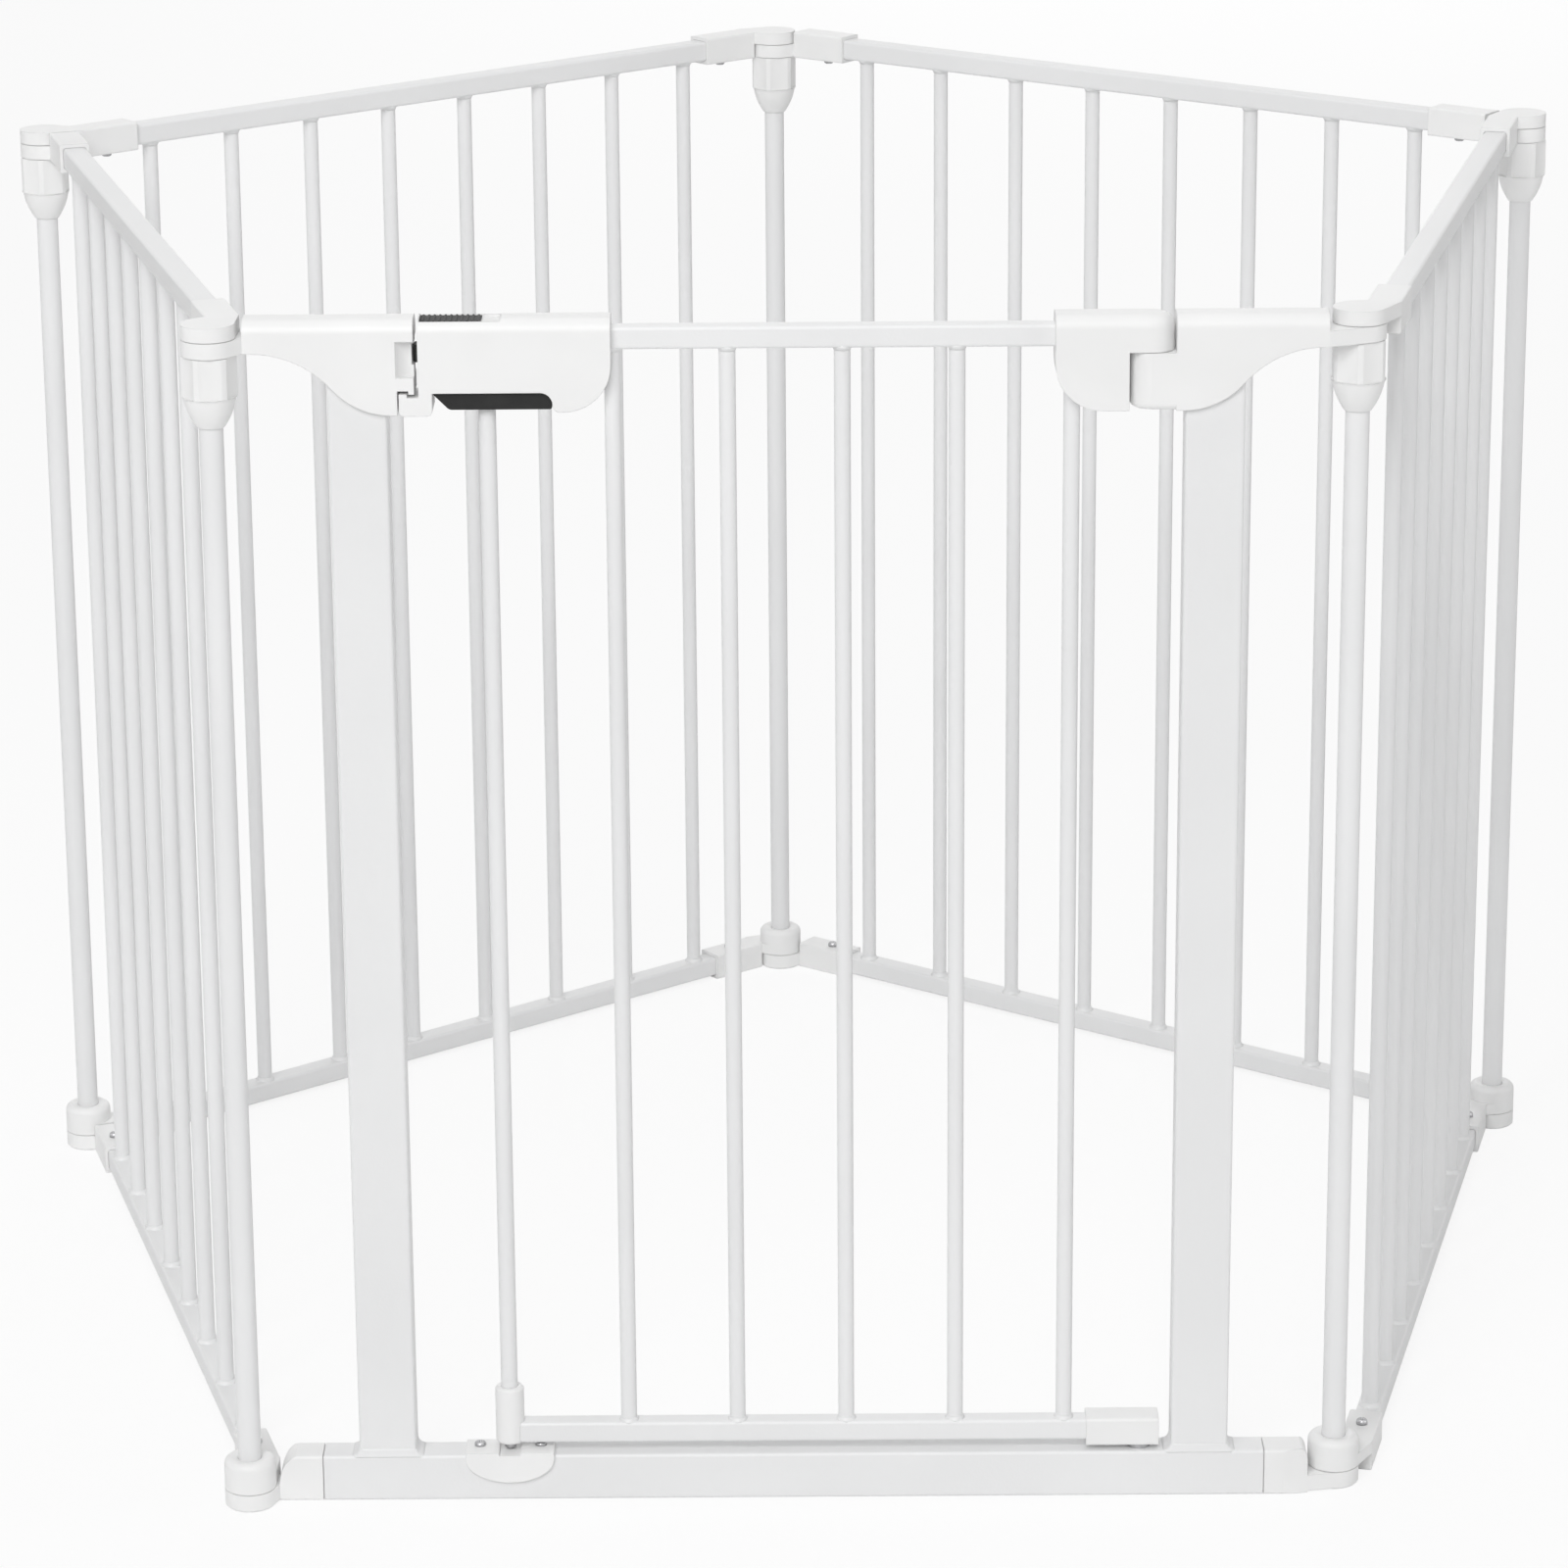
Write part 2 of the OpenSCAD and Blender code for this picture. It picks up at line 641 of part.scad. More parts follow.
// Latch bracket: x from the left fold axis
module latch_bracket() {
    end = strike_x + half_gate;
    hook_side = hook_x - hook_gap + half_gate;
    scoop_r = 11;
    scoop_z = grip_z + 9;
    color(plastic_white) at_left_end() difference() {
        union() {
            housing(concat([[bracket_from, housing_top], [end, housing_top], [end, lip_z],
                [end - lip_w, lip_z], [end - lip_w, strike_z], [hook_side, strike_z],
                [hook_side, housing_z]],
                swoosh(bracket_from + 4.5, ring_z, housing_z), [[bracket_from, ring_z]]));
            translate([0, 0, ring_z]) linear_extrude(ring_h)
                neck(-fold_offset, bracket_from, -housing_half, neck_back);
        }
        translate([0, -fold_offset, ring_z - cut]) cylinder(r = pin_r + running, h = ring_h + 2 * cut);
        upright_socket();
        bracket_screw_hole();
        for (s = [-1, 1]) translate([end, s * (housing_half + 4), scoop_z])
            cylinder(r = scoop_r, h = housing_top - 12.4 - scoop_z);
        translate([end - detent, -housing_half - cut, bolt_z - 1.2])
            cube([detent + cut, housing_d + 2 * cut, bolt_h + 2.4]);
    }
}

// Hinge bracket: x from the right fold axis, growing towards the door
module hinge_bracket() {
    axis_x = half_gate - swing_x;
    wall_x = axis_x - lobe_r - swing_face;
    heel_r = 4;
    color(plastic_white) at_right_end() difference() {
        union() {
            housing(concat([[bracket_from, housing_top], [wall_x, housing_top],
                [wall_x, housing_z]], swoosh(bracket_from + 2.5, ring_z, housing_z),
                [[bracket_from, ring_z]]));
            translate([wall_x - cut, 0, 0]) rotate([90, 0, 90]) linear_extrude(axis_x - wall_x + cut)
                polygon(concat(arc(heel_r - lobe_r, housing_z + heel_r, heel_r, 180, 270, 6),
                    arc(lobe_r - heel_r, housing_z + heel_r, heel_r, 270, 360, 6),
                    [[lobe_r, seam_z], [-lobe_r, seam_z]]));
            translate([axis_x, 0, 0]) rotate_extrude($fn = 64) polygon(concat([[0, housing_z + 0.04]],
                arc(cap_lobe_r - heel_r, housing_z + 0.04 + heel_r, heel_r, 270, 360, 6),
                [[cap_lobe_r, seam_z], [0, seam_z]]));
            translate([0, 0, ring_z]) linear_extrude(ring_h)
                neck(fold_offset, bracket_from, -housing_half, housing_half);
        }
        translate([0, fold_offset, ring_z - cut]) cylinder(r = pin_r + running, h = ring_h + 2 * cut);
        upright_socket();
        bracket_screw_hole();
        translate([axis_x, 0, seam_z - hinge_pin_grip]) cylinder(r = hinge_pin_r, h = hinge_pin_grip + cut);
    }
}

module keeper_plate() {
    drop_flat = 2;
    color(plastic_white) in_gate() translate([latch_x, 0, 0]) difference() {
        union() {
            translate([-keeper_w / 2, -sill_d / 2, sill_h]) cube([keeper_w, sill_d - 3, keeper_t]);
            translate([0, -sill_d / 2, sill_h + keeper_t]) rotate([90, 0, 0]) linear_extrude(keeper_t)
                polygon(concat([[-keeper_w / 2, 0], [-keeper_w / 2, -drop_flat - keeper_t]],
                    [for (a = [180 : 10 : 360]) [keeper_w / 2 * cos(a),
                        -drop_flat - keeper_t + (keeper_drop - drop_flat) * sin(a)]],
                    [[keeper_w / 2, 0]]));
        }
        translate([-keeper_groove / 2, -sill_d, sill_h + 0.5]) cube([keeper_groove, 2 * sill_d, keeper_t]);
        translate([-latch_x, 0, 0]) keeper_holes(sill_h - cut, keeper_t + 2 * cut);
    }
}

module keeper_screws() {
    color("silver") in_gate() for (s = [-1, 1])
        translate([latch_x + s * keeper_w / 2.9, 0, sill_h + keeper_t]) screw(keeper_t + 5);
}

module upper_hinge_pin() {
    color("silver") in_gate() translate([swing_x, 0, seam_z - hinge_pin_grip])
        cylinder(r = hinge_pin_r, h = hinge_pin_grip + hinge_pin_reach);
}

module lower_hinge_pin() {
    color("silver") in_gate() translate([swing_x, 0, 0]) {
        translate([0, 0, sill_h - 8]) cylinder(r = hinge_pin_r, h = 8 + hinge_pin_reach);
        translate([0, 0, sill_h]) cylinder(r = pin_flange_r, h = shoe_z - sill_h - 0.4);
    }
}

// ---- door

module door_rail(x0, x1, z) {
    square_tube(x0, x1, door_rail_d, z, door_rail_h, rail_wall);
}

module door_top_rail() {
    color(steel_white) in_gate() difference() {
        door_rail(door_end_x, rail_end, door_top_z);
        translate([cap_screw_x, 0, door_top_z - cut])
            cylinder(r = screw_r + fit, h = rail_wall + 2 * cut, $fn = 24);
    }
}

module door_bottom_rail() {
    color(steel_white) in_gate() difference() {
        door_rail(latch_x, shoe_from + 10, door_rail_z);
        translate([latch_x, 0, 0]) cylinder(d = foot_d + 0.1, h = foot_z + foot_h);
    }
}

module door_bars() {
    x0 = latch_x + first_bar;
    pitch = (swing_x - last_bar - x0) / (door_bar_count - 1);
    color(steel_white) in_gate() for (k = [0 : door_bar_count - 1]) translate([x0 + k * pitch, 0, 0])
        round_tube(door_bar_d, tube_wall, door_rail_z + door_rail_h, door_top_z);
}

module latch_tube() {
    color(steel_white) in_gate() translate([latch_x, 0, 0]) difference() {
        round_tube(latch_tube_d, tube_wall, foot_z + foot_h - foot_socket, tube_top);
        translate([-cross_pin_r - 0.3, -latch_tube_d, cross_pin_z - cross_pin_r - 0.5])
            cube([2 * (cross_pin_r + 0.3), 2 * latch_tube_d, grip_travel + 2 * cross_pin_r + 1]);
    }
}

module latch_tube_foot() {
    cavity_r = rod_r + 2.3;
    color(plastic_white) in_gate() translate([latch_x, 0, foot_z]) difference() {
        rotate_extrude() polygon([[0, 0], [foot_d / 2 - 1, 0], [foot_d / 2, 1],
            [foot_d / 2, foot_h - 1.5], [foot_d / 2 - 1.5, foot_h], [0, foot_h]]);
        translate([0, 0, -cut]) cylinder(r = rod_r + running, h = foot_h);
        translate([0, 0, foot_floor]) cylinder(r = cavity_r, h = foot_h - foot_socket - foot_floor);
        translate([0, 0, foot_h - foot_socket - cut])
            cylinder(d = latch_tube_d + 0.1, h = foot_socket + 2 * cut);
    }
}

// Door's hinge cap: takes the top rail on one side and the hinge pin on the other
module hinge_cap() {
    face_x = swing_x - lobe_r - swing_face;
    color(plastic_white) in_gate() difference() {
        union() {
            housing(concat([[cap_from, housing_top], [swing_x, housing_top],
                [swing_x, seam_z + knuckle_gap], [face_x, seam_z + knuckle_gap], [face_x, housing_z]],
                arc(cap_from + cap_r, housing_z + cap_r, cap_r, 270, 180)));
            translate([swing_x, 0, 0]) rotate_extrude($fn = 64) polygon(concat(
                [[0, seam_z + knuckle_gap], [cap_lobe_r, seam_z + knuckle_gap]],
                arc(cap_lobe_r - housing_r, cap_lobe_top - housing_r, housing_r, 0, 90),
                [[0, cap_lobe_top]]));
        }
        translate([swing_x, 0, seam_z - cut])
            cylinder(r = hinge_pin_r + running, h = hinge_pin_reach + 1 + cut);
        beam(cap_from - cut, rail_end + fit, door_rail_d + 2 * fit, door_top_z - fit,
            door_rail_h + 2 * fit, rail_r);
        // way for the last bar up to the rail
        translate([swing_x - last_bar, 0, housing_z - cut])
            cylinder(d = door_bar_d + 2 * fit, h = door_top_z - housing_z + cut);
        translate([cap_screw_x, 0, cap_screw_z])
            cylinder(r = screw_r + fit, h = door_top_z - cap_screw_z + cut, $fn = 24);
        translate([cap_screw_x, 0, housing_z - cut])
            cylinder(r = screw_head_r + 0.3, h = cap_screw_z - housing_z + cut, $fn = 24);
    }
}

module hinge_shoe() {
    color(plastic_white) in_gate() difference() {
        beam(shoe_from, shoe_to, shoe_d, shoe_z, shoe_h, rail_r);
        translate([swing_x, 0, shoe_z - cut])
            cylinder(r = hinge_pin_r + running, h = hinge_pin_reach + 1 - (shoe_z - sill_h) + cut);
        beam(shoe_from - cut, shoe_from + 10 + fit, door_rail_d + 2 * fit, door_rail_z - fit,
            door_rail_h + 2 * fit, rail_r);
    }
}

// Front-view outline of the handle, with the hook under its left end
module handle_body() {
    lobe_r = handle_to - grip_to - lobe_corner_r - 2.2;
    hook_r = 3;
    hook_z = housing_z - 0.5;
    housing(concat([[handle_x, housing_top], [handle_to, housing_top]],
        arc(handle_to - lobe_r, lobe_z + lobe_r, lobe_r, 0, -90),
        arc(grip_to + lobe_corner_r, lobe_z + lobe_corner_r, lobe_corner_r, 270, 180, 5),
        arc(grip_to - mouth_r, grip_z - mouth_r, mouth_r, 0, 90, 6), [[grip_x, grip_z]],
        arc(grip_x - hook_r, hook_z + hook_r, hook_r, 0, -90, 5),
        arc(hook_x + hook_r, hook_z + hook_r, hook_r, 270, 180, 5),
        [[hook_x, strike_z - hook_drop], [strike_x - lip_w - hook_gap, strike_z - hook_drop],
        [strike_x - lip_w - hook_gap, lip_z - hook_drop], [handle_x, lip_z - hook_drop]]));
}

// What is hollow inside the handle
module handle_hollow() {
    inner = housing_half - handle_wall;
    ceiling = housing_top - handle_wall;
    difference() {
        union() {
            translate([handle_x + handle_wall, -inner, grip_z + handle_wall])
                cube([grip_to - handle_x - handle_wall, 2 * inner, ceiling - grip_z - handle_wall - 4]);
            translate([grip_to - 2 * handle_wall, -inner, door_top_z - 2])
                cube([handle_to - grip_to + handle_wall, 2 * inner, ceiling - 4 - door_top_z + 2]);
            translate([recess_to + handle_wall, -inner + 4, ceiling - 5])
                cube([handle_to - recess_to - 2 * handle_wall, 2 * inner - 8, 5]);
        }
        handle_ribs(inner);
    }
    // mouth for the grip
    translate([grip_x, -inner, grip_z - mouth_r - 0.2])
        cube([grip_to - grip_x, 2 * inner, mouth_r + 0.2 + handle_wall + cut]);
    // window for the latch bolt
    translate([handle_x - cut, -bolt_w / 2 - 0.3, bolt_z - 0.3])
        cube([handle_wall + 2 * cut, bolt_w + 0.6, bolt_h + 0.6]);
    // recess for the slide button, with a ramp at its end, and the slot under it
    translate([handle_x + 1, -recess_half, housing_top - recess_d])
        cube([recess_to - ramp_r - handle_x - 1, 2 * recess_half, recess_d + cut]);
    translate([recess_to - ramp_r, -recess_half, housing_top - recess_d + ramp_r]) rotate([-90, 0, 0])
        cylinder(r = ramp_r, h = 2 * recess_half);
    translate([handle_x + 5.5, -4.3, ceiling - 5 - cut])
        cube([10.6 + slide_travel, 8.6, handle_wall + 5 + 2 * cut]);
    // way for the first bar up to the rail
    translate([latch_x + first_bar, 0, housing_z - cut])
        cylinder(d = door_bar_d + 2 * fit, h = door_top_z - housing_z + cut);
    // socket for the top rail
    beam(door_end_x - fit, handle_to + cut, door_rail_d + 2 * fit, door_top_z - fit,
        door_rail_h + 2 * fit, rail_r);
}

// Ribs inside the handle: bolt shelf, tube clamp, spring stop, rail saddle and screw bosses
module handle_ribs(inner) {
    difference() {
        union() {
            translate([handle_x, -inner, bolt_z - 2.4]) cube([bolt_to - handle_x, 2 * inner, 2.1]);
            translate([latch_x - 8, -inner, clamp_z]) cube([16, 2 * inner, clamp_h]);
            translate([spring_stop, -inner, clamp_z]) cube([2.2, 2 * inner, 12]);
            translate([door_end_x - 2, -inner, door_top_z - 2]) cube([handle_to - door_end_x, 2 * inner, 20]);
            translate([handle_x, -inner, end_screw[1] - 4.2]) cube([10.5, 2 * inner, 6.6]);
        }
        translate([latch_x, 0, clamp_z - cut]) cylinder(d = latch_tube_d + 0.1, h = tube_top - clamp_z + cut + fit);
    }
    translate([top_screw[0], inner + cut, top_screw[1]]) rotate([90, 0, 0])
        cylinder(r = 4.2, h = 2 * inner + 2 * cut, $fn = 32);
}

// Screws of the handle, looking down each from behind
module at_handle_screws() {
    for (p = handle_screws_at)
        translate([p[0], housing_half - 3, p[1]]) rotate([-90, 0, 0]) children();
}

module handle_shell(side) {
    in_gate() difference() {
        handle_body();
        handle_hollow();
        at_handle_screws() {
            translate([0, 0, -handle_screw_len - 1])
                cylinder(r = screw_r + 0.05, h = handle_screw_len + 2, $fn = 24);
            cylinder(r = screw_head_r + 0.3, h = 4, $fn = 24);
        }
        translate([hook_x - cut, side > 0 ? -housing_d : 0, 0])
            cube([2 * handle_len, housing_d, 2 * height]);
    }
}

module handle_front() { color(plastic_white) handle_shell(-1); }
module handle_rear() { color(plastic_white) handle_shell(1); }

module door_screws() {
    color("silver") in_gate() {
        at_handle_screws() screw(handle_screw_len);
        translate([cap_screw_x, 0, cap_screw_z]) mirror([0, 0, 1])
            screw(door_top_z - cap_screw_z + rail_wall + 3);
    }
}

// ---- latch

module slide_button() {
    x0 = handle_x + 1.2;
    base_z = housing_top - recess_d + 0.1;
    base_h = 1;
    half = recess_half - 0.3;
    ribs = 11;
    rib_r = 0.8;
    color("dimgray") in_gate() {
        translate([x0, -half, base_z]) cube([button_len, 2 * half, base_h]);
        for (k = [0 : ribs - 1])
            translate([x0 + 1.6 + k * (button_len - 3.2) / (ribs - 1), 0, base_z + base_h]) rotate([90, 0, 0])
                translate([0, 0, -half + 0.4]) cylinder(r = rib_r, h = 2 * half - 0.8, $fn = 16);
        translate([handle_x + 5.9, -3.9, bolt_z + bolt_h]) cube([9.8, 7.8, base_z + 0.1 - bolt_z - bolt_h]);
    }
}

module latch_bolt() {
    color("dimgray") in_gate() difference() {
        translate([0, 0, bolt_z]) linear_extrude(bolt_h) polygon([
            [bolt_end + 1.5, -bolt_w / 2], [bolt_to, -bolt_w / 2], [bolt_to, bolt_w / 2],
            [bolt_end + 1.5, bolt_w / 2], [bolt_end, bolt_w / 2 - 3], [bolt_end, -bolt_w / 2 + 3]]);
        translate([bolt_to - spring_bore, 0, bolt_z + bolt_h / 2]) rotate([0, 90, 0])
            cylinder(r = spring_bore_r, h = spring_bore + cut);
    }
}

module latch_spring() {
    color("silver") in_gate() translate([bolt_to - spring_bore, 0, bolt_z + bolt_h / 2])
        rotate([0, 90, 0]) coil(spring_bore_r - 0.7, 0.4, spring_stop - bolt_to + spring_bore, 7);
}

module lift_grip() {
    x0 = grip_x + 0.3;
    x1 = grip_to - 0.3;
    nose_r = 4;             // round foot of the sloping left end
    heel_r = 1.5;
    slope_to = x0 + grip_h - 1 - nose_r + 2 * nose_r * cos(45);
    bore_r = latch_tube_d / 2 + 0.3;
    color("dimgray") in_gate() difference() {
        union() {
            rotate([90, 0, 0]) translate([0, 0, -grip_half]) linear_extrude(2 * grip_half)
                polygon(concat([[x0, grip_z], [x0, grip_z - 1]],
                    arc(slope_to, grip_z - grip_h + nose_r, nose_r, 225, 270, 5),
                    arc(x1 - heel_r, grip_z - grip_h + heel_r, heel_r, 270, 360, 4), [[x1, grip_z]]));
            translate([latch_x - 8, -grip_half, grip_z - cut]) cube([16, 2 * grip_half, sleeve_top - grip_z + cut]);
        }
        translate([latch_x, 0, grip_z - grip_h - cut]) cylinder(r = bore_r, h = grip_h + sleeve_top - grip_z + 2 * cut);
        translate([latch_x, grip_half + cut, cross_pin_z]) rotate([90, 0, 0])
            cylinder(r = cross_pin_r + 0.05, h = 2 * grip_half + 2 * cut, $fn = 24);
    }
}

module drop_rod() {
    color("silver") in_gate() translate([latch_x, 0, 0]) {
        translate([0, 0, rod_tip]) cylinder(r1 = rod_r - 1, r2 = rod_r, h = 1);
        translate([0, 0, rod_tip + 1]) cylinder(r = rod_r, h = cross_pin_z + 4 - rod_tip - 1);
        translate([0, 0, collar_z]) cylinder(r = rod_r + 1.8, h = collar_h);
        translate([0, grip_half - 0.3, cross_pin_z]) rotate([90, 0, 0])
            cylinder(r = cross_pin_r, h = 2 * grip_half - 0.6, $fn = 24);
    }
}

module drop_spring() {
    color("silver") in_gate() translate([latch_x, 0, collar_z + collar_h])
        coil(rod_r + 1.05, 0.45, foot_z + foot_h - foot_socket - collar_z - collar_h, 6);
}

sill_rail();
sill_end_left();
sill_end_right();
upright(latch_upright_x);  // latch_upright
upright(hinge_upright_x);  // hinge_upright
latch_bracket();
hinge_bracket();
bracket_screws();
keeper_plate();
keeper_screws();
upper_hinge_pin();
lower_hinge_pin();
door_top_rail();
door_bottom_rail();
door_bars();
latch_tube();
latch_tube_foot();
handle_front();
handle_rear();
hinge_cap();
hinge_shoe();
door_screws();
slide_button();
latch_bolt();
latch_spring();
lift_grip();
drop_rod();
drop_spring();
fence_top_rail(0);  // left_top_rail
fence_bottom_rail(0);  // left_bottom_rail
fence_bars(0);  // left_bars
fence_knuckles(0);  // left_knuckles
fence_screws(0);  // left_screws
fence_top_rail(1);  // back_left_top_rail
fence_bottom_rail(1);  // back_left_bottom_rail
fence_bars(1);  // back_left_bars
fence_knuckles(1);  // back_left_knuckles
fence_screws(1);  // back_left_screws
fence_top_rail(2);  // back_right_top_rail
fence_bottom_rail(2);  // back_right_bottom_rail
fence_bars(2);  // back_right_bars
fence_knuckles(2);  // back_right_knuckles
fence_screws(2);  // back_right_screws
fence_top_rail(3);  // right_top_rail
fence_bottom_rail(3);  // right_bottom_rail
fence_bars(3);  // right_bars
fence_knuckles(3);  // right_knuckles
fence_screws(3);  // right_screws
post(front_left);  // post_front_left
post(left);  // post_left
post(back);  // post_back
post(right);  // post_right
post(front_right);  // post_front_right
lock_nut(front_left, 38);  // nut_front_left
lock_nut(left, 58);  // nut_left
lock_nut(back, 45);  // nut_back
lock_nut(right, 22);  // nut_right
lock_nut(front_right, 58);  // nut_front_right
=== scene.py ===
import json
import math

import bmesh
import bpy
from mathutils import Matrix, Vector


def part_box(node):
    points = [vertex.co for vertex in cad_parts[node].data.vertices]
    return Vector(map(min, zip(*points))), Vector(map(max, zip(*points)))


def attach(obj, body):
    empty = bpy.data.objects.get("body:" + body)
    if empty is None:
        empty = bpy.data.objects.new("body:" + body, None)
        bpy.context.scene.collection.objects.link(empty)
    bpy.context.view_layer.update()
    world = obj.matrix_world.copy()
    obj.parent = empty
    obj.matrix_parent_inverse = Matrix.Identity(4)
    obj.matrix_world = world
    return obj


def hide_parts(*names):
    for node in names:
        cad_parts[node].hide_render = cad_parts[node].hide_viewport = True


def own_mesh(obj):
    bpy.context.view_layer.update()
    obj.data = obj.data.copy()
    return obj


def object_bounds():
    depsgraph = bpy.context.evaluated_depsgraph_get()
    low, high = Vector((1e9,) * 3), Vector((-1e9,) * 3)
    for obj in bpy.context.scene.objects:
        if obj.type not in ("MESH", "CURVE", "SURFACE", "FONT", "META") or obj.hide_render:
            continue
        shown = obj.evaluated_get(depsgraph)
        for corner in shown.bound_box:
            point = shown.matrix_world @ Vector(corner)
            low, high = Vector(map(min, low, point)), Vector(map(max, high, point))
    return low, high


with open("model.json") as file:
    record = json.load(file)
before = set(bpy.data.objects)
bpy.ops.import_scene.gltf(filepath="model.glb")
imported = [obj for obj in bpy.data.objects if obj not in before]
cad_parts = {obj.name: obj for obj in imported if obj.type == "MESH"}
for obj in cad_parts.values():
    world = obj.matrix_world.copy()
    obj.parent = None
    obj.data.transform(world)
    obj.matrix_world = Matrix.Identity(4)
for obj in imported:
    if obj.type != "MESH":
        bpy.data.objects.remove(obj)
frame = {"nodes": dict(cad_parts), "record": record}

# The pen as it stands on the floor: a gate panel in front and four fence panels
# behind it, joined at five corner posts. The CAD nodes give every size and place.
nodes = frame["nodes"]
cad_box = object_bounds()
scene = bpy.context.scene
sill_low, sill_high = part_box("sill_rail")
gate_y = (sill_low.y + sill_high.y) / 2


# ------------------------------------------------------------------ camera and studio
# The pen is seen from the front, from well above its top rails, on a pale floor. A
# large soft light hangs high in front, a little to the left, with weak ones above the
# pen, at both its sides and behind it.
camera = bpy.data.objects.new("camera", bpy.data.cameras.new("camera"))
scene.collection.objects.link(camera)
scene.camera = camera
camera.location = (0.003, gate_y - 2.954, 1.398)
turned, looks_down, rolled = 0.1, 16.16, -0.41
look = (Matrix.Rotation(math.radians(turned), 4, "Z")
        @ Matrix.Rotation(math.radians(90 - looks_down), 4, "X")
        @ Matrix.Rotation(math.radians(rolled), 4, "Z"))
camera.rotation_euler = look.to_euler()
camera.data.sensor_width = 36
camera.data.lens = 122.8
camera.data.shift_y = -0.1
camera.data.clip_end = 60
scene.view_settings.view_transform = "Standard"


class Value:
    """An output socket that works in sums, so that 1 - mask * 0.5 makes its Math nodes."""

    def __init__(self, nodes_of, socket):
        self.nodes_of = nodes_of
        self.socket = socket

    def sum(self, operation, *terms):
        settings = {"operation": operation}
        return self.nodes_of.node("ShaderNodeMath", settings, dict(enumerate(terms)))

    def __add__(self, other):
        return self.sum("ADD", self, other)

    def __radd__(self, other):
        return self.sum("ADD", other, self)

    def __sub__(self, other):
        return self.sum("SUBTRACT", self, other)

    def __rsub__(self, other):
        return self.sum("SUBTRACT", other, self)

    def __mul__(self, other):
        return self.sum("MULTIPLY", self, other)

    def __rmul__(self, other):
        return self.sum("MULTIPLY", other, self)

    def ramp(self, low, high):
        """0 up to low, 1 from high on, smooth in between."""
        return self.nodes_of.node("ShaderNodeMapRange", {"interpolation_type": "SMOOTHSTEP"},
                                  {"Value": self, "From Min": low, "From Max": high})


class Nodes:
    """A node tree that gets each of its nodes by one method."""

    def __init__(self, tree):
        self.tree = tree

    def feed(self, socket, value):
        if isinstance(value, Value):
            self.tree.links.new(value.socket, socket)
        else:
            socket.default_value = value

    def node(self, kind, settings=None, sockets=None, out=0):
        made = self.tree.nodes.new(kind)
        for key, value in (settings or {}).items():
            setattr(made, key, value)
        for key, value in (sockets or {}).items():
            self.feed(made.inputs[key], value)
        return Value(self, made.outputs[out])

    def surface(self, output, shader):
        self.feed(self.tree.nodes[output].inputs["Surface"], shader)


class Finish(Nodes):
    """A material and the nodes that feed its shader."""

    def __init__(self, name, **fixed):
        self.material = bpy.data.materials.new(name)
        self.material.use_nodes = True
        super().__init__(self.material.node_tree)
        self.skin = self.tree.nodes["Principled BSDF"]
        self.place = self.node("ShaderNodeTexCoord", out="Object")
        self.set(**fixed)

    def set(self, **sockets):
        for key, value in sockets.items():
            self.feed(self.skin.inputs[key.replace("_", " ")], value)

    def noise(self, scale, detail=2.0, roughness=0.5, stretch=None):
        place = self.place
        if stretch:
            place = self.node("ShaderNodeMapping", sockets={"Vector": place, "Scale": stretch})
        return self.node("ShaderNodeTexNoise", None, {
            "Vector": place, "Scale": scale, "Detail": detail, "Roughness": roughness})

    def blend(self, factor, first, second):
        return self.node("ShaderNodeMix", {"data_type": "RGBA"}, {
            0: factor, 6: (*first, 1), 7: (*second, 1)}, out=2)

    def bump(self, height, depth, strength=1.0, edge=0.0):
        sockets = {"Height": height, "Distance": depth, "Strength": strength}
        if edge:
            sockets["Normal"] = self.node("ShaderNodeBevel", {"samples": 4}, {"Radius": edge})
        return self.node("ShaderNodeBump", None, sockets)


# The floor shows a little of its own white in the camera's view, so that it stays
# pale to its far edge and still takes the pen's shadow.
floor_finish = Finish("studio_floor", Roughness=0.7)
cloud = floor_finish.noise(1.3)
floor_finish.set(Base_Color=floor_finish.blend(cloud, (0.92, 0.92, 0.92), (0.94, 0.94, 0.94)))
white = (1, 1, 1, 1)
own_white = 0.84
glow = floor_finish.node("ShaderNodeEmission", None, {"Color": white, "Strength": 1.0})
seen = floor_finish.node("ShaderNodeLightPath", out="Is Camera Ray")
floor_finish.surface("Material Output", floor_finish.node("ShaderNodeMixShader", None, {
    0: seen * own_white, 1: Value(floor_finish, floor_finish.skin.outputs[0]), 2: glow}))

bm = bmesh.new()
bmesh.ops.create_grid(bm, x_segments=4, y_segments=4, size=9)
floor_mesh = bpy.data.meshes.new("studio_floor")
bm.to_mesh(floor_mesh)
bm.free()
studio_floor = bpy.data.objects.new("studio_floor", floor_mesh)
scene.collection.objects.link(studio_floor)
floor_mesh.materials.append(floor_finish.material)

# The air lights the pen softly. The camera, gloss and glass see plain white in it.
scene.world = bpy.data.worlds.new("studio")
scene.world.use_nodes = True
air = Nodes(scene.world.node_tree)
air.tree.nodes.remove(air.tree.nodes["Background"])
soft_light = air.node("ShaderNodeBackground", None, {"Color": white, "Strength": 0.26})
backdrop = air.node("ShaderNodeBackground", None, {"Color": white, "Strength": 1.0})
seen = air.node("ShaderNodeLightPath", out="Is Camera Ray")
for kind in ("Is Glossy Ray", "Is Transmission Ray"):
    seen = seen.sum("MAXIMUM", seen, air.node("ShaderNodeLightPath", out=kind))
air.surface("World Output",
            air.node("ShaderNodeMixShader", None, {0: seen, 1: soft_light, 2: backdrop}))

